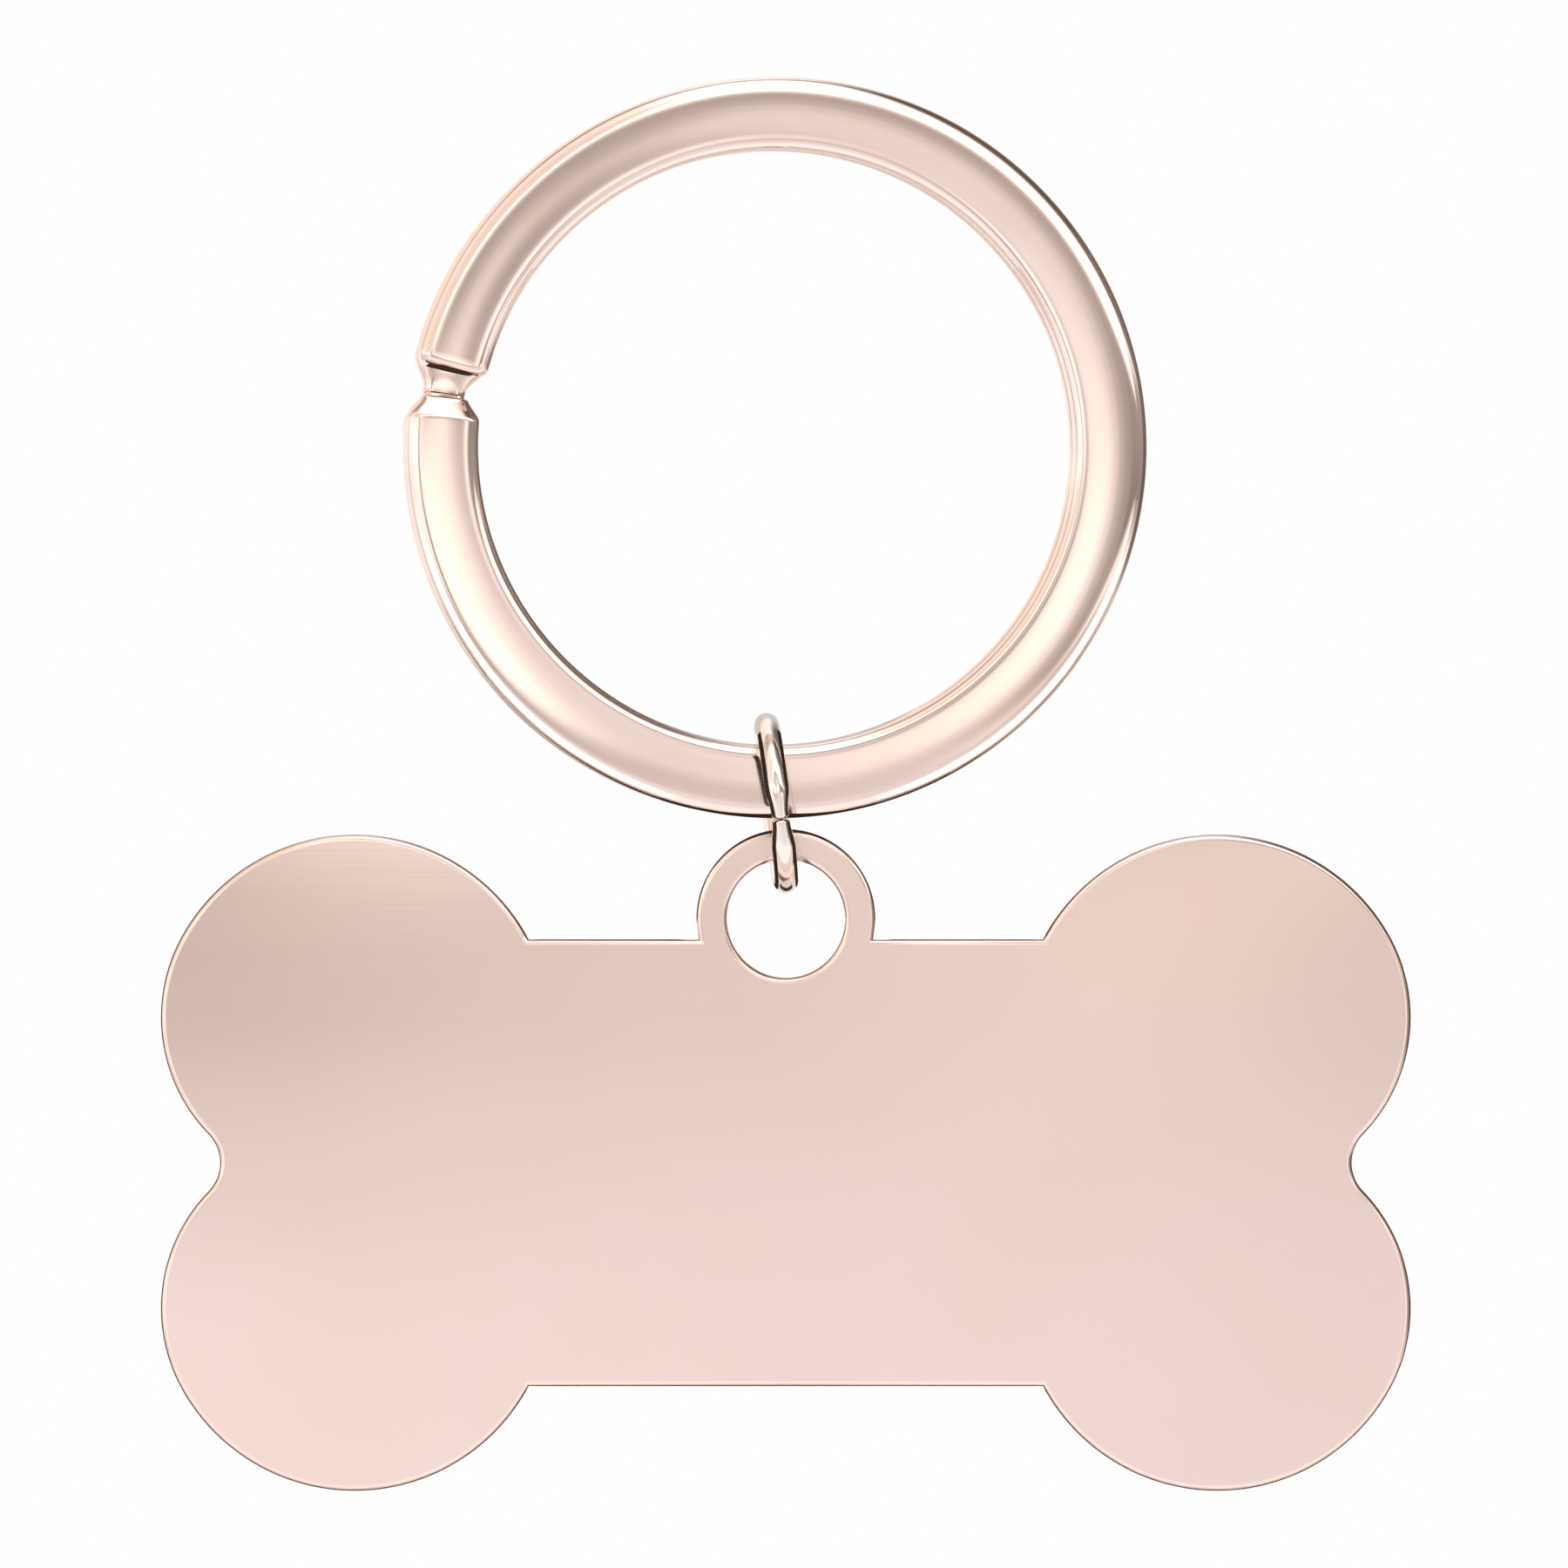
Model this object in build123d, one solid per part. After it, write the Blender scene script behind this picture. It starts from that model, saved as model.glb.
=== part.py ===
from build123d import *
from math import asin, cos, degrees, hypot, radians, sin, sqrt
import os

import numpy as np

# Bone-shaped tag, cut from polished sheet (mm)
tag_thickness = 1.2
tag_waist = 14.3
tag_edge_round = 0.13
tag_corner_round = 0.10
lobe_spacing_x = 27.6
lobe_spacing_z = 8.36
lobe_radius = 6.32
lobe_end_radius = 5.37
lobe_blend_angle = 29.5
notch_radius = 1.3
lug_hole_diameter = 3.77
lug_wall = 0.98
lug_rise = 0.66

# Split ring, flat wire wound in two turns (mm, the neck's place in degrees above -X)
ring_diameter = 23.72
ring_wire_width = 2.34
ring_wire_thickness = 0.70
ring_edge_round = 0.32
ring_turn_gap = 0.42
ring_turn_shift = 0.13
ring_end_round = 0.16
neck_angle = 9.7
neck_width = 1.4
neck_length = 1.9
jog_length = 1.08
jog_end_clearance = 0.25
jog_sections = 19

# Jump ring, round wire bent to a butt joint (mm and degrees)
jump_wire = 0.77
jump_play = 0.80
jump_lean = 7.0
jump_yaw = 2.0
jump_joint_angle = -10.8
jump_joint_gap = 0.05
jump_neck = 0.56
jump_taper = 0.95
taper_sections = 5

# Clearances where the pieces hang in each other (mm)
swing_clearance = 0.10
hang_clearance = 0.25

# Largest distance at which two places count as one (mm)
tolerance = 1e-6

# Stations where the wire's direction and its gap to itself are measured
tangent_step_angle = 0.1
gap_step_angle = 1.0
gap_reach_angle = 5.0
gap_outline_points = 24


def smooth_step(share):
    share = min(max(share, 0.0), 1.0)
    return share * share * (3.0 - 2.0 * share)


# Places worked out from the sizes
ring_middle_radius = (ring_diameter - ring_wire_width) / 2
degrees_per_mm = degrees(1 / ring_middle_radius)
jog_start_angle = neck_angle - jog_length / 2 * degrees_per_mm
jog_end_angle = neck_angle + jog_length / 2 * degrees_per_mm
front_cut_angle = jog_end_angle + jog_end_clearance * degrees_per_mm - 360
back_cut_angle = jog_start_angle - jog_end_clearance * degrees_per_mm + 360
neck_first_angle = neck_angle - neck_length / 2 * degrees_per_mm
neck_last_angle = neck_angle + neck_length / 2 * degrees_per_mm
turn_pitch = ring_wire_thickness + ring_turn_gap
ring_depth = ring_wire_thickness + turn_pitch
corner_reach = ring_edge_round + hypot(
    ring_wire_width / 2 - ring_edge_round,
    ring_depth / 2 - ring_edge_round,
)
jump_inner_radius = (corner_reach + ring_wire_width / 2 + lug_wall + jump_play) / 2
jump_middle_radius = jump_inner_radius + jump_wire / 2
lean_cos = cos(radians(jump_lean))
lean_sin = sin(radians(jump_lean))
jump_drop = jump_inner_radius - corner_reach - swing_clearance
jump_z = -ring_middle_radius - jump_drop * lean_cos
seat_drop = sqrt(jump_inner_radius**2 - (tag_thickness / 2) ** 2) * lean_cos
hole_radius = lug_hole_diameter / 2
hole_z = jump_z - seat_drop + hang_clearance - hole_radius
tag_x = jump_middle_radius * lean_sin
wire_low_z = jump_z - jump_middle_radius * lean_cos


# Bone tag: four lobes of two tangent arcs, end notches, straight waist and a holed lug
def lobe_quarter():
    lobe_x = lobe_spacing_x / 2
    lobe_z = lobe_spacing_z / 2
    blend = lobe_radius - lobe_end_radius
    end_x = lobe_x + blend * cos(radians(lobe_blend_angle))
    end_z = lobe_z + blend * sin(radians(lobe_blend_angle))
    corner_angle = 180 - degrees(asin((tag_waist / 2 - lobe_z) / lobe_radius))
    notch_reach = lobe_end_radius + notch_radius
    notch_x = end_x + sqrt(notch_reach**2 - end_z**2)
    notch_angle = degrees(asin(end_z / notch_reach))
    main_arc = CenterArc((lobe_x, lobe_z), lobe_radius, lobe_blend_angle, corner_angle - lobe_blend_angle)
    end_arc = CenterArc((end_x, end_z), lobe_end_radius, -notch_angle, lobe_blend_angle + notch_angle)
    notch_arc = CenterArc((notch_x, 0), notch_radius, 180 - notch_angle, notch_angle)
    return Curve() + [main_arc, end_arc, notch_arc]


def bone_tag():
    upper = lobe_quarter()
    right = upper + mirror(upper, about=Plane.XZ)
    left = mirror(right, about=Plane.YZ)
    waist_x = lobe_spacing_x / 2 - sqrt(lobe_radius**2 - (tag_waist - lobe_spacing_z) ** 2 / 4)
    top_edge = Line((-waist_x, tag_waist / 2), (waist_x, tag_waist / 2))
    bottom_edge = mirror(top_edge, about=Plane.XZ)
    bone = make_face((right + left + [top_edge, bottom_edge]).edges())
    lug_place = Pos(0, tag_waist / 2 + lug_rise)
    outline = bone + lug_place * Circle(hole_radius + lug_wall)
    corners = [point for point in outline.vertices() if abs(abs(point.Y) - tag_waist / 2) < tolerance]
    outline = fillet(corners, tag_corner_round) - lug_place * Circle(hole_radius)
    plate = extrude(Plane.XZ * outline, amount=tag_thickness / 2, both=True)
    plate = fillet(plate.faces().filter_by(Axis.Y).edges(), tag_edge_round)
    return Pos(tag_x, 0, hole_z - tag_waist / 2 - lug_rise) * plate


# Split ring: the front turn steps through a narrowed jog into the back turn
def wire_point(angle):
    share = smooth_step((angle - jog_start_angle) / (jog_end_angle - jog_start_angle))
    x = -ring_turn_shift * share - ring_middle_radius * cos(radians(angle))
    y = turn_pitch * (share - 0.5)
    z = ring_middle_radius * sin(radians(angle))
    return Vector(x, y, z)


def wire_width(angle):
    away = min(abs(angle - neck_angle) / (neck_last_angle - neck_angle), 1.0)
    pinch = cos(radians(90 * away)) ** 2
    return ring_wire_width - (ring_wire_width - neck_width) * pinch


def wire_section(angle):
    tangent = wire_point(angle + tangent_step_angle) - wire_point(angle - tangent_step_angle)
    outward = Vector(-cos(radians(angle)), 0, sin(radians(angle)))
    place = Plane(origin=wire_point(angle), x_dir=outward, z_dir=tangent)
    return place * RectangleRounded(wire_width(angle), ring_wire_thickness, ring_edge_round)


def flat_turn(start_angle, sweep, axis, cut_angle):
    turn = revolve(wire_section(start_angle), axis, sweep)
    cut_end = turn.faces().sort_by_distance(wire_point(cut_angle))[0]
    return fillet(cut_end.edges(), ring_end_round)


def split_ring():
    back_axis = Axis((-ring_turn_shift, 0, 0), (0, 1, 0))
    front_turn = flat_turn(front_cut_angle, neck_first_angle - front_cut_angle, Axis.Y, front_cut_angle)
    back_turn = flat_turn(neck_last_angle, back_cut_angle - neck_last_angle, back_axis, back_cut_angle)
    step = (neck_last_angle - neck_first_angle) / (jog_sections - 1)
    jog = loft([wire_section(neck_first_angle + step * i) for i in range(jog_sections)])
    return front_turn + jog + back_turn


def wire_gap():
    stations = round((back_cut_angle - front_cut_angle) / gap_step_angle)
    outlines = []
    for angle in np.linspace(front_cut_angle, back_cut_angle, stations + 1):
        edge = wire_section(float(angle)).face().outer_wire()
        outlines.append([tuple(edge.position_at(k / gap_outline_points)) for k in range(gap_outline_points)])
    points = np.array(outlines)
    turn = round(360 / gap_step_angle)
    reach = round(gap_reach_angle / gap_step_angle)
    gaps = []
    for lag in range(turn - reach, turn + reach + 1):
        apart = points[lag:, :, None, :] - points[:-lag, None, :, :]
        gaps.append(np.linalg.norm(apart, axis=-1).min())
    return min(gaps)


# Jump ring: round wire whose ends thin towards a butt joint at the front
def jump_section(angle, diameter):
    outward = Vector(cos(radians(angle)), sin(radians(angle)), 0)
    along = Vector(-sin(radians(angle)), cos(radians(angle)), 0)
    place = Plane(origin=outward * jump_middle_radius, x_dir=outward, z_dir=along)
    return place * Circle(diameter / 2)


def jump_end(joint_side):
    gap_turn = degrees(jump_joint_gap / 2 / jump_middle_radius)
    taper_turn = degrees(jump_taper / jump_middle_radius)
    sections = []
    for i in range(taper_sections):
        share = i / (taper_sections - 1)
        angle = jump_joint_angle + joint_side * (gap_turn + taper_turn * share)
        diameter = jump_neck + (jump_wire - jump_neck) * smooth_step(share)
        sections.append(jump_section(angle, diameter))
    return loft(sections)


def jump_ring():
    open_turn = degrees((jump_joint_gap / 2 + jump_taper) / jump_middle_radius)
    body = revolve(jump_section(jump_joint_angle + open_turn, jump_wire), Axis.Z, 360 - 2 * open_turn)
    ring = body + jump_end(1) + jump_end(-1)
    upright = Plane(origin=(0, 0, 0), x_dir=(0, -1, 0), z_dir=(-1, 0, 0))
    return Pos(0, 0, jump_z) * Rot(0, -jump_lean, 0) * Rot(0, 0, jump_yaw) * upright.location * ring


pieces = {"bone_tag": bone_tag(), "split_ring": split_ring(), "jump_ring": jump_ring()}
os.makedirs("parts", exist_ok=True)
for name, piece in pieces.items():
    export_step(piece, f"parts/{name}.step")

print(f"split ring wire: least gap to itself {wire_gap():.3f} mm")
print(f"jump ring: inner diameter {2 * jump_inner_radius:.3f} mm, centre z {jump_z:.3f} mm")
print(f"jump ring swings about X at y 0, z {-ring_middle_radius:.3f} mm")
print(f"tag swings about Y at x {tag_x:.3f} mm, z {wire_low_z:.3f} mm")
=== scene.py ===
from math import asin, atan2, cos, degrees, pi, radians, sin, sqrt

import bmesh
import bpy
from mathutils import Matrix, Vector


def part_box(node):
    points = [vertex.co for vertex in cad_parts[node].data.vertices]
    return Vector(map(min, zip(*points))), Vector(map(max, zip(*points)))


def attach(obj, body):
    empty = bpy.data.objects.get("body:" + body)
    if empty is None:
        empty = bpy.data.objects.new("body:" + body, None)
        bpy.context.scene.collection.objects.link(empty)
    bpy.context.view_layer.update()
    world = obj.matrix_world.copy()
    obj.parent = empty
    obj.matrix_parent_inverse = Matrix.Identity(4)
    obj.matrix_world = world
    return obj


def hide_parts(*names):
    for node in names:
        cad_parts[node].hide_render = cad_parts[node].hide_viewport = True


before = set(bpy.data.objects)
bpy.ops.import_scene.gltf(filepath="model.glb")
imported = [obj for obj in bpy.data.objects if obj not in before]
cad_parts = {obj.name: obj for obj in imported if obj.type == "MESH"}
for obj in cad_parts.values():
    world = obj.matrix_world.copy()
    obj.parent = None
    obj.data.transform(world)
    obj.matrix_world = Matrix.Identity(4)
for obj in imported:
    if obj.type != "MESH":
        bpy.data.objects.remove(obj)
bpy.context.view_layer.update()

# Split ring: hard spring wire, rolled flat with round edges and wound in two turns that lie together.
# Beside its ends the wire is swaged narrow and steps back, so that both ends lie flush with the turns.
# It is polished and plated with rose gold, and springs open to be threaded on a collar. Drawn in mm.
mm = 0.001
merge_distance = 1e-4
angle_tolerance = 0.05
origin = (0, 0, 0)
x_axis = (1, 0, 0)
y_axis = (0, 1, 0)
z_axis = (0, 0, 1)
ring_low, ring_high = (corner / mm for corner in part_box("split_ring"))
ring_outer_radius = ring_high.z
back_turn_shift = ring_low.x + ring_high.x
wire_width = 2.34
wire_thickness = 0.84
turn_gap = 0.14
wire_edge_radius = 0.58
wire_crown = 0.04
crown_points = 5
edge_points = 14
turn_points = 400
neck_angle = 9.8
neck_reach = 5.2
neck_width = 1.36
neck_thickness = 0.58
ramp_start = 5.0 - neck_angle
ramp_end = 8.7 - neck_angle
ramp_share = 0.29
ramp_easing = 0.18
step_start = 8.5 - neck_angle
step_end = 9.5 - neck_angle
jog_points = 72
front_end_angle = 13.6 - neck_angle
back_end_angle = 6.0 - neck_angle
end_round = 0.30
end_round_steps = 7
ring_smooth_angle = 35.0
turn_pitch = wire_thickness + turn_gap
ring_middle_radius = ring_outer_radius - wire_width / 2


def start_outline(name, place):
    """Begin a piece in edit mode as one point, from which its outline is drawn."""
    bpy.ops.object.select_all(action="DESELECT")
    bpy.ops.mesh.primitive_plane_add(size=1)
    piece = bpy.context.object
    piece.name = name
    piece.data.name = name
    bpy.ops.object.mode_set(mode="EDIT")
    bpy.ops.mesh.select_mode(type="VERT")
    bpy.ops.mesh.merge(type="CENTER")
    bpy.ops.transform.translate(value=place)
    return piece


def sweep(angle, center, axis, steps):
    """Draw the selected points along an arc, right-handed about the axis for a positive angle."""
    bpy.ops.mesh.spin(steps=steps, angle=-radians(angle), center=center, axis=axis)


def turn(angle, axis):
    """Turn the selected points about the origin, right-handed about the axis for a positive angle."""
    bpy.ops.transform.rotate(value=-radians(angle), orient_axis=axis, center_override=origin)


def extrude(move):
    """Draw the selected points on in a straight line."""
    bpy.ops.mesh.extrude_region_move(TRANSFORM_OT_translate={"value": move})


def mirror_outline(factors):
    """Copy the whole outline to its mirror image and join the two where they meet."""
    bpy.ops.mesh.select_all(action="SELECT")
    bpy.ops.mesh.duplicate()
    bpy.ops.transform.resize(value=factors, center_override=origin)
    bpy.ops.mesh.select_all(action="SELECT")
    bpy.ops.mesh.remove_doubles(threshold=merge_distance)


def pick_points(is_wanted):
    """Select the points whose place passes the test, and the edges and faces between them."""
    bpy.ops.mesh.select_mode(type="VERT")
    bpy.ops.mesh.select_all(action="DESELECT")
    shape = bmesh.from_edit_mesh(bpy.context.object.data)
    for point in shape.verts:
        point.select = is_wanted(point.co)
    shape.select_flush(True)
    bmesh.update_edit_mesh(bpy.context.object.data)


def close_end(outward, rounding, steps):
    """Close the selected loop with a face, and round its rim by small insets that push outward."""
    bpy.ops.mesh.edge_face_add()
    for number in range(steps):
        here = pi / 2 * number / steps
        there = pi / 2 * (number + 1) / steps
        bpy.ops.mesh.inset(thickness=rounding * (cos(here) - cos(there)), depth=0)
        bpy.ops.transform.translate(value=outward * rounding * (sin(there) - sin(here)))


def finish_mesh(smooth_angle):
    """Join doubles, point the faces outwards, bring the drawing from mm to metres and smooth it."""
    bpy.ops.mesh.select_all(action="SELECT")
    bpy.ops.mesh.remove_doubles(threshold=merge_distance)
    bpy.ops.mesh.normals_make_consistent(inside=False)
    bpy.ops.transform.resize(value=(mm, mm, mm), center_override=origin)
    bpy.ops.object.mode_set(mode="OBJECT")
    bpy.ops.object.shade_smooth_by_angle(angle=radians(smooth_angle))


def smooth_step(share):
    """From 0 to 1, eased at both ends."""
    share = min(max(share, 0.0), 1.0)
    return share * share * (3.0 - 2.0 * share)


def eased_ramp(share, easing):
    """A straight ramp from 0 to 1 with a short curve at each end."""
    share = min(max(share, 0.0), 1.0)
    if share > 0.5:
        return 1.0 - eased_ramp(1.0 - share, easing)
    if share < easing:
        return share * share / (2.0 * easing * (1.0 - easing))
    return (share - easing / 2.0) / (1.0 - easing)


def wire_angle(place):
    """How far round the ring a place lies, as an angle above the left."""
    return degrees(atan2(place.z, -place.x))


def wire_direction(angle):
    """The way the wire runs, at an angle above the left."""
    return Vector((sin(radians(angle)), 0, cos(radians(angle))))


def jog_share(angle):
    """How far the wire has stepped from the front turn to the back turn: a ramp, then a short step."""
    ramp = eased_ramp((angle - ramp_start) / (ramp_end - ramp_start), ramp_easing)
    step = smooth_step((angle - step_start) / (step_end - step_start))
    return ramp_share * ramp + (1 - ramp_share) * step


def swaged(full, narrow, angle):
    """A size of the wire beside its neck, where it is pressed narrower."""
    return full - (full - narrow) * cos(pi / 2 * angle / neck_reach) ** 2


# The wire's section is two tangent arcs, a broad crown and a round edge, mirrored twice and flattened
edge_middle = wire_width / 2 - wire_edge_radius
crown_radius_drop = (edge_middle**2 - wire_crown**2) / (2 * wire_crown)
crown_angle = degrees(atan2(edge_middle, crown_radius_drop))
drawn_half_thickness = wire_edge_radius + wire_crown
flattening = wire_thickness / 2 / drawn_half_thickness
split_ring = start_outline("split_ring_wire", (0, drawn_half_thickness, 0))
sweep(-crown_angle, (0, -crown_radius_drop, 0), z_axis, crown_points)
sweep(crown_angle - 90, (edge_middle, 0, 0), z_axis, edge_points)
mirror_outline((-1, 1, 1))
mirror_outline((1, -1, 1))
bpy.ops.transform.resize(value=(1, flattening, 1), center_override=origin)
bpy.ops.transform.translate(value=(-ring_middle_radius, -turn_pitch / 2, 0))
turn(-neck_reach, "Y")

# The jog is pressed narrow and steps back, and the back turn goes on from it to its cut end
round_angle = degrees(end_round / ring_middle_radius)
jog_step = 2 * neck_reach / jog_points
for number in range(jog_points):
    before = number * jog_step - neck_reach
    after = before + jog_step
    step_share = jog_share(after) - jog_share(before)
    sweep(jog_step, origin, y_axis, 1)
    bpy.ops.transform.translate(value=(back_turn_shift * step_share, turn_pitch * step_share, 0))
    wire_middle = ring_middle_radius * Vector((-cos(radians(after)), 0, sin(radians(after))))
    wire_middle.x += back_turn_shift * jog_share(after)
    wire_middle.y = turn_pitch * (jog_share(after) - 0.5)
    narrowing = swaged(wire_width, neck_width, after) / swaged(wire_width, neck_width, before)
    thinning = swaged(wire_thickness, neck_thickness, after)
    thinning /= swaged(wire_thickness, neck_thickness, before)
    bpy.ops.transform.resize(value=(narrowing, thinning, 1), center_override=wire_middle)
back_sweep = 360 - neck_reach + back_end_angle - round_angle
sweep(back_sweep, (back_turn_shift, 0, 0), y_axis, turn_points)
close_end(wire_direction(back_end_angle), end_round, end_round_steps)

# The front turn runs the other way from the jog to its own cut end
pick_points(lambda place: abs(wire_angle(place) + neck_reach) < angle_tolerance and place.y < 0)
sweep(neck_reach + front_end_angle + round_angle - 360, origin, y_axis, turn_points)
close_end(-wire_direction(front_end_angle), end_round, end_round_steps)
bpy.ops.mesh.select_all(action="SELECT")
turn(neck_angle, "Y")
finish_mesh(ring_smooth_angle)
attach(split_ring, "split_ring")
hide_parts("split_ring")


class Finish:
    """A socket of a node tree. Arithmetic on it adds Math nodes, and node() adds any other kind."""

    def __init__(self, tree, socket=None):
        self.tree = tree
        self.socket = socket

    def node(self, kind, settings, sockets, output=0):
        """Add a node, set it, feed its sockets and return one of its outputs."""
        made = self.tree.nodes.new(kind)
        for name, value in settings.items():
            setattr(made, name, value)
        for name, value in sockets.items():
            if isinstance(value, Finish):
                self.tree.links.new(value.socket, made.inputs[name])
            else:
                made.inputs[name].default_value = value
        return Finish(self.tree, made.outputs[output] if made.outputs else None)

    def math(self, operation, first, second=0.0):
        return self.node("ShaderNodeMath", {"operation": operation}, {0: first, 1: second})

    def __add__(self, other):
        return self.math("ADD", self, other)

    def __radd__(self, other):
        return self.math("ADD", other, self)

    def __sub__(self, other):
        return self.math("SUBTRACT", self, other)

    def __rsub__(self, other):
        return self.math("SUBTRACT", other, self)

    def __mul__(self, other):
        return self.math("MULTIPLY", self, other)

    def __rmul__(self, other):
        return self.math("MULTIPLY", other, self)

    def __pow__(self, other):
        return self.math("POWER", self, other)

    def __abs__(self):
        return self.math("ABSOLUTE", self)

    def at_most(self, other):
        return self.math("MINIMUM", self, other)

    def at_least(self, other):
        return self.math("MAXIMUM", self, other)

    def smooth(self, start, end):
        """From 0 at start to 1 at end, eased at both."""
        settings = {"interpolation_type": "SMOOTHSTEP", "clamp": True}
        sockets = {"Value": self, "From Min": start, "From Max": end}
        return self.node("ShaderNodeMapRange", settings, sockets)

    def split(self):
        """The three parts of a vector."""
        return [self.node("ShaderNodeSeparateXYZ", {}, {0: self}, part) for part in range(3)]

    def scaled(self, factors):
        """A vector stretched along its axes."""
        return self.node("ShaderNodeVectorMath", {"operation": "MULTIPLY"}, {0: self, 1: factors})

    def noise(self, scale, detail):
        """A soft random pattern on a vector."""
        return self.node("ShaderNodeTexNoise", {}, {"Vector": self, "Scale": scale, "Detail": detail})

    def lit(self, strength):
        """A colour made brighter or darker."""
        return self.node("ShaderNodeVectorMath", {"operation": "SCALE"}, {0: self, "Scale": strength})

    def blend(self, first, second):
        """A colour between two others, by this share."""
        return self.node("ShaderNodeMix", {"data_type": "RGBA"}, {0: self, 6: first, 7: second}, 2)


def start_material(name):
    """A new empty material, and its Object coordinates."""
    material = bpy.data.materials.new(name)
    material.use_nodes = True
    material.node_tree.nodes.clear()
    blank = Finish(material.node_tree)
    return material, blank.node("ShaderNodeTexCoord", {}, {}, "Object")


def coat_with(piece, material, color, roughness, height, relief):
    """Finish a piece as polished plated metal with the given relief."""
    bump = color.node("ShaderNodeBump", {}, {"Strength": 1.0, "Distance": relief, "Height": height})
    metal = color.node(
        "ShaderNodeBsdfPrincipled",
        {},
        {"Base Color": color, "Metallic": 1.0, "Roughness": roughness, "Normal": bump},
    )
    metal.node("ShaderNodeOutputMaterial", {}, {"Surface": metal})
    piece.data.materials.clear()
    piece.data.materials.append(material)


# Rose gold over the wire, with faint drawing lines along it and edges that rub paler and smoother
rose_gold = (0.920, 0.745, 0.700, 1)
rose_gold_deep = (0.905, 0.720, 0.670, 1)
rose_gold_rubbed = (0.940, 0.785, 0.740, 1)
wire_patch_scale = 260
wire_patch_range = (0.35, 0.70)
drawing_line_scale = 9000
drawing_line_relief = 0.0006 * mm
wire_rub_range = (0.75 * mm, 1.10 * mm)
wire_roughness_base = 0.07
wire_patch_roughness = 0.04
drawing_line_roughness = 0.02
rub_smoothing = 0.6
between_turns = (-0.2 * mm, 0.2 * mm)
wire_material, place = start_material("split_ring_rose_gold")
across, depth, up = place.split()
turn_shift = back_turn_shift * mm * depth.smooth(*between_turns)
from_axis = ((across - turn_shift) ** 2 + up**2) ** 0.5
section = place.node("ShaderNodeCombineXYZ", {}, {0: from_axis, 1: depth, 2: 0.0})
lines = section.noise(drawing_line_scale, detail=2)
patches = place.noise(wire_patch_scale, detail=3)
rubbed = abs(from_axis - ring_middle_radius * mm).smooth(*wire_rub_range)
wire_color = patches.smooth(*wire_patch_range).blend(rose_gold, rose_gold_deep)
wire_color = rubbed.blend(wire_color, rose_gold_rubbed)
wire_roughness = wire_roughness_base + wire_patch_roughness * patches + drawing_line_roughness * lines
wire_roughness = wire_roughness * (1 - rub_smoothing * rubbed)
wire_height = lines * (1 - rubbed)
coat_with(split_ring, wire_material, wire_color, wire_roughness, wire_height, drawing_line_relief)

# Jump ring: soft round wire, cut and bent with pliers until its thinned ends meet in a butt joint.
# It links the tag's lug to the split ring and hangs by its own inside, leaning a little to one side.
# Plated with the other pieces, and rubbed paler where it hangs and where the lug rides on it.
jump_low, jump_high = (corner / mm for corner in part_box("jump_ring"))
jump_wire = 0.77
jump_lean = 7.0
jump_yaw = 2.0
jump_joint_angle = -10.8
jump_joint_gap = 0.05
jump_neck = 0.56
jump_taper = 0.95
jump_end_round = 0.09
jump_end_steps = 4
taper_points = 8
jump_points = 160
jump_wire_points = 40
jump_middle_z = (jump_low.z + jump_high.z) / 2
jump_middle_radius = ((jump_high.z - jump_low.z) / 2 - jump_wire / 2) / cos(radians(jump_lean))
open_angle = degrees((jump_joint_gap / 2 + jump_taper) / jump_middle_radius)
jump_start_angle = jump_joint_angle + open_angle
jump_sweep = 360 - 2 * open_angle


def jump_place(angle):
    """The middle of the jump ring's wire, at an angle above the front."""
    return jump_middle_radius * Vector((0, -cos(radians(angle)), sin(radians(angle))))


def taper_end(angle, direction):
    """Draw the selected wire on to its thinned, rounded end."""
    size = jump_wire
    taper_step = degrees((jump_taper - jump_end_round) / jump_middle_radius) / taper_points
    for number in range(taper_points):
        angle += direction * taper_step
        wanted = jump_wire - (jump_wire - jump_neck) * smooth_step((number + 1) / taper_points)
        sweep(-direction * taper_step, origin, x_axis, 1)
        bpy.ops.transform.resize(value=[wanted / size] * 3, center_override=jump_place(angle))
        size = wanted
    outward = direction * Vector((0, sin(radians(angle)), cos(radians(angle))))
    close_end(outward, jump_end_round, jump_end_steps)


def hang_jump():
    """Bring all that is drawn round the origin to the jump ring's lean and place."""
    bpy.ops.mesh.select_all(action="SELECT")
    turn(jump_yaw, "Z")
    turn(-jump_lean, "Y")
    bpy.ops.transform.translate(value=(0, 0, jump_middle_z))


bpy.ops.object.select_all(action="DESELECT")
bpy.ops.mesh.primitive_circle_add(
    vertices=jump_wire_points, radius=jump_wire / 2, location=jump_place(0)
)
jump_ring = bpy.context.object
jump_ring.name = "jump_ring_wire"
jump_ring.data.name = "jump_ring_wire"
bpy.ops.object.transform_apply(location=True, rotation=True, scale=True)
bpy.ops.object.mode_set(mode="EDIT")
bpy.ops.mesh.select_all(action="SELECT")
turn(-jump_start_angle, "X")
sweep(-jump_sweep, origin, x_axis, jump_points)
taper_end(jump_start_angle + jump_sweep, 1)
pick_points(lambda place: abs(degrees(atan2(place.z, -place.y)) - jump_start_angle) < angle_tolerance)
taper_end(jump_start_angle, -1)
hang_jump()
finish_mesh(ring_smooth_angle)
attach(jump_ring, "jump_ring")
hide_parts("jump_ring")

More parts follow.
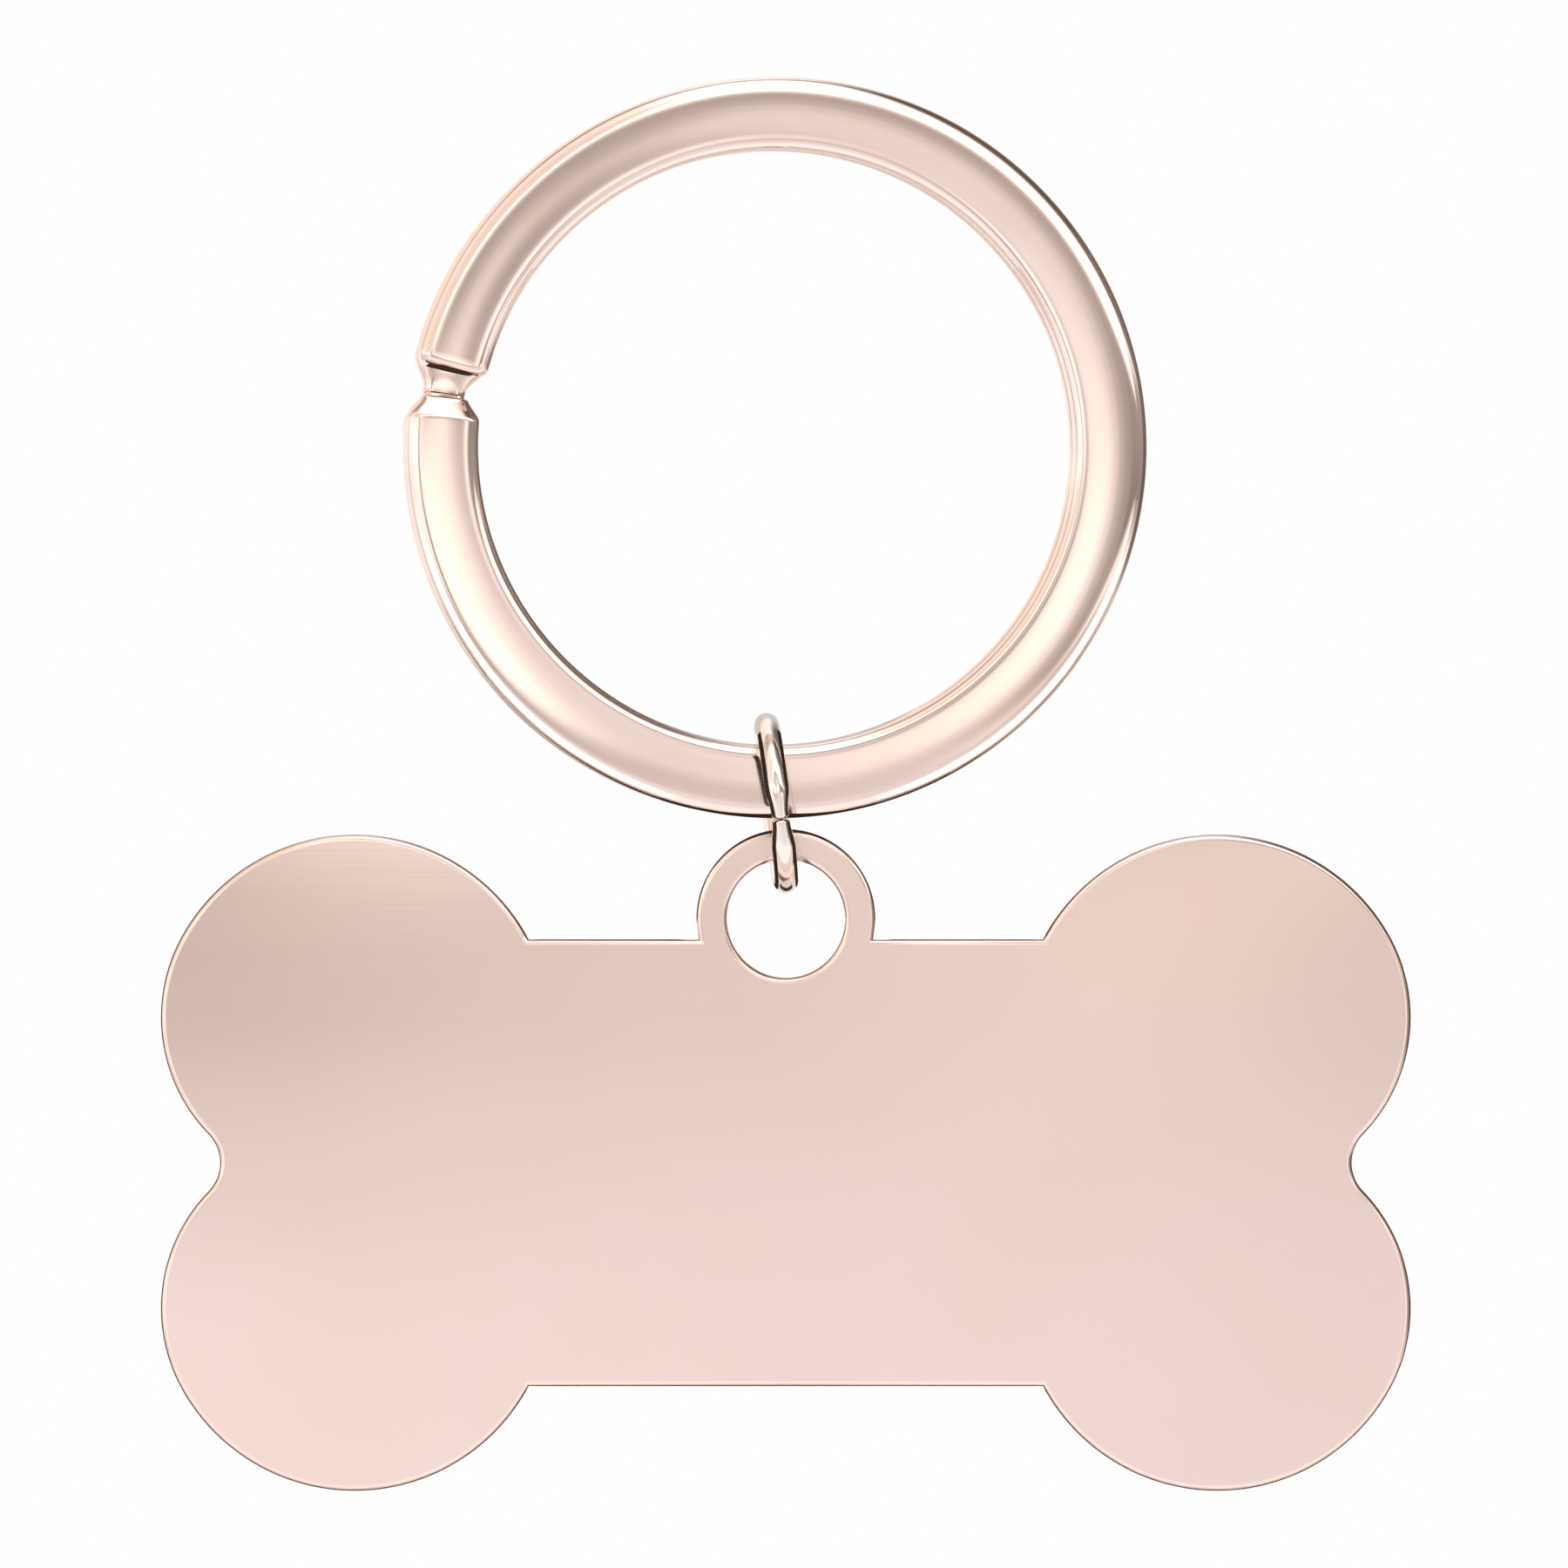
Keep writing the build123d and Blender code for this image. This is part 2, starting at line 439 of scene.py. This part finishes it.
# A paler rose gold, with the small nicks that pliers leave
jump_gold = (0.950, 0.850, 0.815, 1)
jump_gold_deep = (0.935, 0.820, 0.780, 1)
jump_gold_rubbed = (0.960, 0.875, 0.845, 1)
jump_patch_scale = 700
jump_patch_range = (0.35, 0.70)
nick_scale = 5200
nick_stretch = (1, 1, 0.35)
nick_relief = 0.003 * mm
jump_rub_range = (1.9 * mm, 2.6 * mm)
jump_roughness_base = 0.09
jump_patch_roughness = 0.05
nick_roughness = 0.03
jump_material, place = start_material("jump_ring_rose_gold")
across, depth, up = place.split()
patches = place.noise(jump_patch_scale, detail=3)
nicks = place.scaled(nick_stretch).noise(nick_scale, detail=2)
rubbed = abs(up - jump_middle_z * mm).smooth(*jump_rub_range)
jump_color = patches.smooth(*jump_patch_range).blend(jump_gold, jump_gold_deep)
jump_color = rubbed.blend(jump_color, jump_gold_rubbed)
jump_roughness = jump_roughness_base + jump_patch_roughness * patches + nick_roughness * nicks
coat_with(jump_ring, jump_material, jump_color, jump_roughness, nicks, nick_relief)

# Bone tag: one stamped sheet in the outline of a bone, with a round lug and its hole on the top edge.
# Cut from brass or steel sheet, tumbled so that its edges are round, polished and plated with rose gold.
# It hangs by its lug on the jump ring, and both faces are plain, ready to be engraved.
tag_low, tag_high = (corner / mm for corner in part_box("bone_tag"))
tag_thickness = tag_high.y - tag_low.y
tag_waist = 14.3
tag_edge_round = 0.20
tag_edge_points = 8
tag_sharp_angle = 45.0
tag_smooth_angle = 40.0
lobe_spacing_x = 27.6
lobe_spacing_z = 8.36
lobe_radius = 6.32
lobe_end_radius = 5.37
lobe_blend_angle = 29.5
notch_radius = 1.3
lug_hole_radius = 1.885
lug_wall = 0.98
lug_rise = 0.66
lobe_points = 72
lobe_end_points = 40
notch_points = 20
lug_points = 48
lug_hole_points = 64
lobe_x = lobe_spacing_x / 2
lobe_z = lobe_spacing_z / 2
lobe_blend = lobe_radius - lobe_end_radius
lobe_end_x = lobe_x + lobe_blend * cos(radians(lobe_blend_angle))
lobe_end_z = lobe_z + lobe_blend * sin(radians(lobe_blend_angle))
notch_reach = lobe_end_radius + notch_radius
notch_x = lobe_end_x + sqrt(notch_reach**2 - lobe_end_z**2)
notch_angle = degrees(asin(lobe_end_z / notch_reach))
corner_angle = 180 - degrees(asin((tag_waist / 2 - lobe_z) / lobe_radius))
waist_x = lobe_x + lobe_radius * cos(radians(corner_angle))
lug_radius = lug_hole_radius + lug_wall
lug_foot_angle = degrees(asin(lug_rise / lug_radius))
lug_foot_x = lug_radius * cos(radians(lug_foot_angle))
lug_z = tag_waist / 2 + lug_rise
tag_middle = Vector(((tag_low.x + tag_high.x) / 2, 0, tag_low.z + lobe_z + lobe_radius))

# The right half is drawn from its notch round both lobes, over the lug, round the hole and to the waist
bone_tag = start_outline("bone_tag_plate", (notch_x - notch_radius, -tag_thickness / 2, 0))
sweep(notch_angle, (notch_x, 0, 0), y_axis, notch_points)
sweep(-notch_angle - lobe_blend_angle, (lobe_end_x, 0, lobe_end_z), y_axis, lobe_end_points)
sweep(lobe_blend_angle - corner_angle, (lobe_x, 0, lobe_z), y_axis, lobe_points)
mirror_outline((1, 1, -1))
pick_points(lambda place: abs(place.x - waist_x) < merge_distance and place.z > 0)
extrude((lug_foot_x - waist_x, 0, 0))
sweep(-lug_foot_angle - 90, (0, 0, lug_z), y_axis, lug_points)
extrude((0, 0, -lug_wall))
sweep(180, (0, 0, lug_z), y_axis, lug_hole_points)
extrude((0, 0, lug_hole_radius - lug_z - tag_waist / 2))
extrude((waist_x, 0, 0))
bpy.ops.mesh.select_all(action="SELECT")
bpy.ops.mesh.remove_doubles(threshold=merge_distance)
bpy.ops.mesh.edge_face_add()
mirror_outline((-1, 1, 1))

# The sheet gets its thickness, and the rims of both faces are tumbled round
bpy.ops.mesh.normals_make_consistent(inside=False)
extrude((0, tag_thickness, 0))
bpy.ops.mesh.select_all(action="SELECT")
bpy.ops.mesh.normals_make_consistent(inside=False)
bpy.ops.mesh.select_mode(type="EDGE")
bpy.ops.mesh.select_all(action="DESELECT")
shape = bmesh.from_edit_mesh(bone_tag.data)
for edge in shape.edges:
    level = abs(edge.verts[0].co.y - edge.verts[1].co.y) < merge_distance
    edge.select = level and edge.calc_face_angle() > radians(tag_sharp_angle)
bmesh.update_edit_mesh(bone_tag.data)
bpy.ops.mesh.bevel(offset=tag_edge_round, segments=tag_edge_points, affect="EDGES")
bpy.ops.mesh.select_all(action="SELECT")
bpy.ops.transform.translate(value=tag_middle)
finish_mesh(tag_smooth_angle)
weights = bone_tag.modifiers.new("flat faces", "WEIGHTED_NORMAL")
weights.keep_sharp = True
bpy.ops.object.modifier_apply(modifier=weights.name)
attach(bone_tag, "bone_tag")
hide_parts("bone_tag")

# Rose gold on the sheet, polished along its length, with soft waves and an edge that rubs paler
tag_patch_scale = 110
tag_patch_range = (0.30, 0.75)
polish_stretch = (120, 400, 9000)
polish_share = 0.004
wave_stretch = (1, 1, 1.6)
wave_scale = 46
wave_relief = 0.2 * mm
tag_rub_range = (0.48 * mm, 0.42 * mm)
tag_roughness_base = 0.15
tag_patch_roughness = 0.05
polish_roughness = 0.05
tag_material, place = start_material("bone_tag_rose_gold")
across, depth, up = place.split()
polish = place.scaled(polish_stretch).noise(1, detail=3)
patches = place.noise(tag_patch_scale, detail=3)
waves = place.scaled(wave_stretch).noise(wave_scale, detail=1)
rubbed = abs(depth).smooth(*tag_rub_range)
tag_color = patches.smooth(*tag_patch_range).blend(rose_gold, rose_gold_deep)
tag_color = rubbed.blend(tag_color, rose_gold_rubbed)
tag_roughness = tag_roughness_base + tag_patch_roughness * patches + polish_roughness * polish
coat_with(bone_tag, tag_material, tag_color, tag_roughness, waves + polish_share * polish, wave_relief)

# Stage: a pale floor that fades out, in white air with soft light all round. Cards, hoops and plates
# that no camera sees stand near the object: light ones for its faces to mirror, dark ones for its edges,
# and dark ones as painted shade in the gaps between the pieces and beside the jump ring's wire.
floor_drop = 60 * mm
floor_radius = 400 * mm
floor_points = 96
floor_fade_range = (90 * mm, 240 * mm)
floor_color = (0.90, 0.89, 0.88, 1)
bpy.ops.object.select_all(action="DESELECT")
bpy.ops.mesh.primitive_circle_add(
    vertices=floor_points, radius=floor_radius, fill_type="NGON", location=(0, 0, -floor_drop)
)
floor = bpy.context.object
floor.name = "floor"
bpy.ops.object.transform_apply(location=True, rotation=True, scale=True)
floor_material, place = start_material("pale_floor")
across, depth, up = place.split()
fade = ((across**2 + depth**2) ** 0.5).smooth(*floor_fade_range)
paper = place.node("ShaderNodeBsdfDiffuse", {}, {"Color": floor_color})
clear = place.node("ShaderNodeBsdfTransparent", {}, {})
ground = place.node("ShaderNodeMixShader", {}, {0: fade, 1: paper, 2: clear})
ground.node("ShaderNodeOutputMaterial", {}, {"Surface": ground})
floor.data.materials.append(floor_material)


def make_card(name, middle, width, height, tilt):
    """A flat card in mm, tilted up from lying flat by an angle."""
    bpy.ops.object.select_all(action="DESELECT")
    bpy.ops.mesh.primitive_plane_add(
        size=1, location=Vector(middle) * mm, rotation=(radians(tilt), 0, 0)
    )
    card = bpy.context.object
    card.name = name
    card.scale = (width * mm, height * mm, 1)
    bpy.ops.object.transform_apply(location=True, rotation=True, scale=True)
    return card


def put_on_stage(card, material):
    """Give a card its look, for the metal to mirror and no camera to see."""
    card.visible_camera = False
    card.visible_diffuse = False
    card.visible_shadow = False
    card.visible_transmission = False
    card.data.materials.clear()
    card.data.materials.append(material)


def glow_with(place, color, strength, share=None):
    """End a material as plain light, or as light by a share and clear elsewhere."""
    glow = place.node("ShaderNodeEmission", {}, {"Color": color, "Strength": strength})
    if share:
        clear = place.node("ShaderNodeBsdfTransparent", {}, {})
        glow = place.node("ShaderNodeMixShader", {}, {0: share, 1: clear, 2: glow})
    glow.node("ShaderNodeOutputMaterial", {}, {"Surface": glow})


def split_in_mm(place):
    """The three parts of a place on a card, in mm."""
    return place.scaled([1 / mm] * 3).split()


def patch(middle_x, middle_z, radius):
    """A soft round patch on the front card."""
    away = ((across - middle_x) ** 2 + (up - middle_z) ** 2) ** 0.5
    return away.smooth(radius, 0)


def add_patches(light, patches):
    """Light with round patches added, each a gain, a middle and a radius."""
    for gain, middle_x, middle_z, radius in patches:
        light = light + gain * patch(middle_x, middle_z, radius)
    return light


# The front card is the light that all faces mirror. In front of the tag it is graded across the upper
# half, even and pinker over the lower half, and warm at the upper right
front_card = make_card("front_card", (0, -40, -8), 120, 120, 90)
card_material, place = start_material("front_card")
across, depth, up = split_in_mm(place)
lower_range = (-14, -32)
upper_level = 0.53
upper_steps = ((0.20, -24, -3), (0.12, -2, 11), (-0.17, 11, 22))
lower_level = 0.9351
lower_fall = 0.0019
warm_gain = 0.21
warm_patch = patch(15, -13, 9)
lower = up.smooth(*lower_range)
upper_light = upper_level
for gain, start, end in upper_steps:
    upper_light = upper_light + gain * across.smooth(start, end)
lower_light = lower_level - lower_fall * across
tag_light = upper_light * (1 - lower) + lower_light * lower + warm_gain * warm_patch

# In front of the split ring it has patches for the flat of the wire and is darker for its shoulders
ring_card_z = 1.5
shoulder_range = (11, 20)
shoulder_level = 0.42
open_shoulders = ((0.95, -19, -3, 16), (0.80, -12, -11, 10), (0.60, 2, -14, 11))
face_level = 0.90
face_patches = (
    (-0.45, -5, 5, 7),
    (-0.25, -7, 14, 8),
    (0.70, -17, -4, 14),
    (0.55, 8, -3, 11),
    (0.40, -12, -11, 8),
    (0.12, 1, -13, 8),
)
from_middle = (across**2 + (up - ring_card_z) ** 2) ** 0.5
shoulder = from_middle.smooth(*shoulder_range) * (1 - add_patches(0.0, open_shoulders).at_most(1.0))
ring_light = add_patches(face_level, face_patches) * (1 - shoulder) + shoulder_level * shoulder

# Further out it is white for the round edges, with a gap on the right, and a line and peach on the left
edge_range = (19, 25)
edge_level = 1.2
edge_top_gain = 0.5
edge_top_range = (-6, 4)
gap_depth = 0.78
gap_across = (14, 22)
gap_up = (11, 6)
line_depth = 0.65
line_radius = 27
line_width = (5, 1)
line_across = (-16, -22)
line_z = -2
line_up = (14, 7)
peach_depth = 0.42
peach_out = (28, 32)
peach_across = (-9, -17)
peach_up = (2, 10)
right_gap = across.smooth(*gap_across) * abs(up - ring_card_z).smooth(*gap_up)
left_line = abs(from_middle - line_radius).smooth(*line_width) * across.smooth(*line_across)
left_line = left_line * abs(up - line_z).smooth(*line_up)
peach_rim = from_middle.smooth(*peach_out) * across.smooth(*peach_across) * up.smooth(*peach_up)
edge_light = edge_level + edge_top_gain * up.smooth(*edge_top_range)
edge_light = edge_light * (1 - gap_depth * right_gap) * (1 - line_depth * left_line)
edge_light = edge_light * (1 - peach_depth * peach_rim)
ring_light = ring_light + (edge_light - ring_light) * from_middle.smooth(*edge_range)

# Both halves meet in a soft step, the sides and the foot are even, and dim light is warmer
meeting_range = (-16, -9)
border_level = 1.10
border_across = (31, 40)
border_up = (-4, -14)
border_foot = (-43, -50)
dim_range = (0.5, 1.0)
bright_range = (1.0, 1.4)
warm_up = (-9, -13)
beige_light = (1.0, 0.95, 0.87, 1)
pale_light = (1.0, 0.985, 0.95, 1)
cream_light = (1.0, 1.0, 0.89, 1)
pink_light = (1.0, 0.985, 0.985, 1)
peach_light = (1.0, 0.90, 0.78, 1)
warm_light = (1.0, 0.95, 0.85, 1)
light = tag_light + (ring_light - tag_light) * up.smooth(*meeting_range)
border = (abs(across).smooth(*border_across) * up.smooth(*border_up)).at_least(up.smooth(*border_foot))
light = light + (border_level - light) * border
tint = light.smooth(*dim_range).blend(beige_light, pale_light)
tint = light.smooth(*bright_range).blend(tint, cream_light)
tint = lower.blend(tint, pink_light)
tint = peach_rim.blend(tint, peach_light)
tint = (warm_patch * up.smooth(*warm_up)).blend(tint, warm_light)
glow_with(place, tint.lit(light), 1.0)
put_on_stage(front_card, card_material)

# A dark card close behind follows the tag's outline at a small distance, for a dark line on its edges
dark_brown = (0.06, 0.04, 0.03, 1)
band_start = (0.4, 0.6)
band_end = (5.6, 4.6)
band_top_share = 0.38
band_top_range = (-11.0, -11.8)
edge_card = make_card("edge_card", (0, 0.7, -11), 64, 64, 90)
edge_material, place = start_material("edge_card")
across, depth, up = split_in_mm(place)
tag_across = abs(across - tag_middle.x)
tag_up = abs(up - tag_middle.z)
off_lobes = ((tag_across - lobe_x) ** 2 + (tag_up - lobe_z) ** 2) ** 0.5 - lobe_radius
off_waist = (tag_across - lobe_x).at_least(tag_up - tag_waist / 2)
off_lug = (tag_across**2 + (up - tag_middle.z - lug_z) ** 2) ** 0.5 - lug_radius
away = off_lobes.at_most(off_waist).at_most(off_lug)
band = away.smooth(*band_start) * away.smooth(*band_end)
band = band * (band_top_share + (1 - band_top_share) * up.smooth(*band_top_range))
glow_with(place, dark_brown, 1.0, band)
put_on_stage(edge_card, edge_material)

# Dark hoops follow the sides of the jump ring, for its round wire to mirror as painted shade along its
# sides. The first is a short band beside its strand, mirrored in the split ring's face as a painted
# shadow of the strand. Each has a place across, a width, a start above the front and a sweep
hoops = ((-0.36, -0.17, -20, 70), (-0.41, 0, -180, 240), (0.41, 0, -180, 240))
hoop_radius = 2.84
hoop_height = 0.27
hoop_points = 48
# Near black for the hoops and plates: painted shade, seen only where the metal mirrors it
painted_shade_black = (0.03, 0.02, 0.015, 1)
shade_flag_material, place = start_material("wire_shade_flag")
glow_with(place, painted_shade_black, 1.0)
for hoop_x, hoop_width, hoop_start, hoop_sweep in hoops:
    hoop = start_outline("wire_shade_flag", (hoop_x, -hoop_radius, 0))
    extrude((0, hoop_height, 0))
    bpy.ops.mesh.select_all(action="SELECT")
    if hoop_width:
        extrude((hoop_width, 0, 0))
        bpy.ops.mesh.select_all(action="SELECT")
    turn(-hoop_start, "X")
    sweep(-hoop_sweep, origin, x_axis, hoop_points)
    hang_jump()
    finish_mesh(ring_smooth_angle)
    put_on_stage(hoop, shade_flag_material)


def draw_plate(name, start, front_runs, plate_depth):
    """Draw a level plate in mm: its front edge run by run, and then straight back."""
    plate = start_outline(name, start)
    for run in front_runs:
        extrude(run)
    bpy.ops.mesh.select_all(action="SELECT")
    extrude((0, plate_depth, 0))
    bpy.ops.mesh.select_all(action="SELECT")
    return plate


# A dark plate closes the gap under the front end of the split ring's wire, as painted shade that the
# wire's rims mirror as a dark line under that end
end_flag_width = 1.8
end_flag_front = -0.60
end_flag_depth = 0.70
end_flag_below = 0.5
end_flag_angle = front_end_angle + neck_angle - end_flag_below
end_flag_start = (-ring_middle_radius - end_flag_width / 2, end_flag_front, 0)
end_flag = draw_plate("end_flag", end_flag_start, [(end_flag_width, 0, 0)], end_flag_depth)
turn(end_flag_angle, "Y")
finish_mesh(ring_smooth_angle)
put_on_stage(end_flag, shade_flag_material)

# A dark plate with a point to the front closes the gap between the split ring and the lug, as painted
# shade that their rims mirror as a dark line
gap_flag_left = -4.0
gap_flag_front = -0.45
gap_flag_runs = [(4.2, -0.43, 0), (3.2, 0.43, 0)]
gap_flag_depth = 0.9
gap_flag_start = (gap_flag_left, gap_flag_front, (tag_high.z + ring_low.z) / 2)
gap_flag = draw_plate("gap_flag", gap_flag_start, gap_flag_runs, gap_flag_depth)
finish_mesh(ring_smooth_angle)
put_on_stage(gap_flag, shade_flag_material)

# A dark plate lies under the jump ring in the lug's hole, for its lowest bend to mirror as painted shade
bend_flag_width = 1.8
bend_flag_drop = 0.8
bend_flag_depth = 0.9
bend_flag_start = (tag_middle.x - bend_flag_width / 2, 0, jump_low.z - bend_flag_drop)
bend_flag = draw_plate("bend_flag", bend_flag_start, [(bend_flag_width, 0, 0)], bend_flag_depth)
finish_mesh(ring_smooth_angle)
put_on_stage(bend_flag, shade_flag_material)

# White strips follow the split ring's lower edge, for its rim to mirror, and fade out at both ends
strip_starts = (-8, -106)
strip_sweep = -66
strip_points = 48
strip_gap = 0.3
strip_front = -1.6
strip_width = 2.7
strip_light = (1.0, 1.0, 0.97, 1)
strip_strength = 1.8
strip_top_range = (-1, -7)
strip_lug_range = (2.6, 6.5)
strip_material, place = start_material("rim_strip")
across, depth, up = split_in_mm(place)
strip_share = up.smooth(*strip_top_range) * abs(across).smooth(*strip_lug_range)
glow_with(place, strip_light, strip_strength, strip_share)
for strip_start in strip_starts:
    strip = start_outline("rim_strip", (-ring_outer_radius - strip_gap, strip_front, 0))
    extrude((-strip_width, 0, 0))
    bpy.ops.mesh.select_all(action="SELECT")
    turn(strip_start, "Y")
    sweep(strip_sweep, origin, y_axis, strip_points)
    finish_mesh(ring_smooth_angle)
    put_on_stage(strip, strip_material)

# A white card lies low in front, for the edges that face down
low_light = (1.0, 0.99, 0.96, 1)
low_strength = 1.12
low_card = make_card("low_card", (0, -20, -48), 140, 28, 0)
low_material, place = start_material("low_card")
glow_with(place, low_light, low_strength)
put_on_stage(low_card, low_material)

# The air is white to look at. The metal mirrors it bright in front, pale behind, peach at the upper
# left, and dark in a belt round the sides and in three flags on the right
back_level = 1.05
behind_range = (0.2, 0.4)
front_level = 1.12
front_top_gain = 0.58
front_top_range = (-0.1, 0.35)
corner_across = (-0.12, -0.45)
corner_up = (0.05, 0.30)
belt_depth = 0.02
belt_range = (0.24, 0.12)
belt_shade = 0.30
belt_top_shade = 0.32
belt_top_range = (0.5, 0.9)
belt_right_shade = 0.62
belt_right_across = 0.9
belt_right_up = 0.43
belt_right_range = (0.4, 0.85)
right_shade = 0.75
right_across = (0.25, 0.6)
right_up = (0.35, 0.15)
right_depth = (0.3, 0.1)
flag_shade = 0.9
back_flag_across = 0.9
back_flag_up = 0.45
back_flag_range = (0.35, 0.75)
back_flag_depth = (0.0, 0.2)
front_flag_slant = 0.707
front_flag_range = (0.72, 0.90)
front_flag_depth = (-0.55, -0.35)
white = (1, 1, 1, 1)
pale_wall = (1.0, 0.985, 0.95, 1)
peach_wall = (1.0, 0.88, 0.76, 1)
brown_wall = (0.055, 0.035, 0.02, 1)
world = bpy.data.worlds.new("studio")
bpy.context.scene.world = world
world.use_nodes = True
world.node_tree.nodes.clear()
air = Finish(world.node_tree)
across, depth, up = air.node("ShaderNodeTexCoord", {}, {}, "Generated").split()
upper_left = across.smooth(*corner_across) * up.smooth(*corner_up)
level = front_level + front_top_gain * up.smooth(*front_top_range) * (1 - upper_left)
level = level + (back_level - level) * depth.smooth(*behind_range)
belt = abs(depth - belt_depth).smooth(*belt_range)
to_right = (belt_right_across * across + belt_right_up * up).smooth(*belt_right_range)
belt = belt * (belt_shade + belt_top_shade * up.smooth(*belt_top_range) + belt_right_shade * to_right)
right_flag = across.smooth(*right_across) * abs(up).smooth(*right_up) * depth.smooth(*right_depth)
back_flag = (back_flag_across * across + back_flag_up * up).smooth(*back_flag_range)
back_flag = back_flag * depth.smooth(*back_flag_depth)
front_flag = (front_flag_slant * across + front_flag_slant * up).smooth(*front_flag_range)
front_flag = front_flag * depth.smooth(*front_flag_depth)
shade = belt.at_least(right_shade * right_flag)
shade = shade.at_least(flag_shade * back_flag).at_least(flag_shade * front_flag)
wall_color = shade.blend(upper_left.blend(pale_wall, peach_wall), brown_wall)
mirrored = air.node("ShaderNodeBackground", {}, {"Color": wall_color.lit(level), "Strength": 1.0})
seen = air.node("ShaderNodeBackground", {}, {"Color": white, "Strength": 1.0})
is_camera = air.node("ShaderNodeLightPath", {}, {}, "Is Camera Ray")
sky = air.node("ShaderNodeMixShader", {}, {0: is_camera, 1: mirrored, 2: seen})
sky.node("ShaderNodeOutputWorld", {}, {"Surface": sky})

# Camera: square to the tag, from far enough that its thickness stays hidden, as in the photograph
frame_width = 50.24 * mm
camera_lens = 200.0
camera_sensor = 36.0
camera_clip_start = 0.01
aim = Vector((0.251, 0, -10.76)) * mm
camera_data = bpy.data.cameras.new("camera")
camera_data.lens = camera_lens
camera_data.sensor_width = camera_sensor
camera_data.clip_start = camera_clip_start
camera = bpy.data.objects.new("camera", camera_data)
camera.location = aim - Vector((0, frame_width * camera_lens / camera_sensor, 0))
camera.rotation_euler = (pi / 2, 0, 0)
bpy.context.scene.collection.objects.link(camera)
bpy.context.scene.camera = camera
bpy.context.scene.view_settings.view_transform = "Standard"
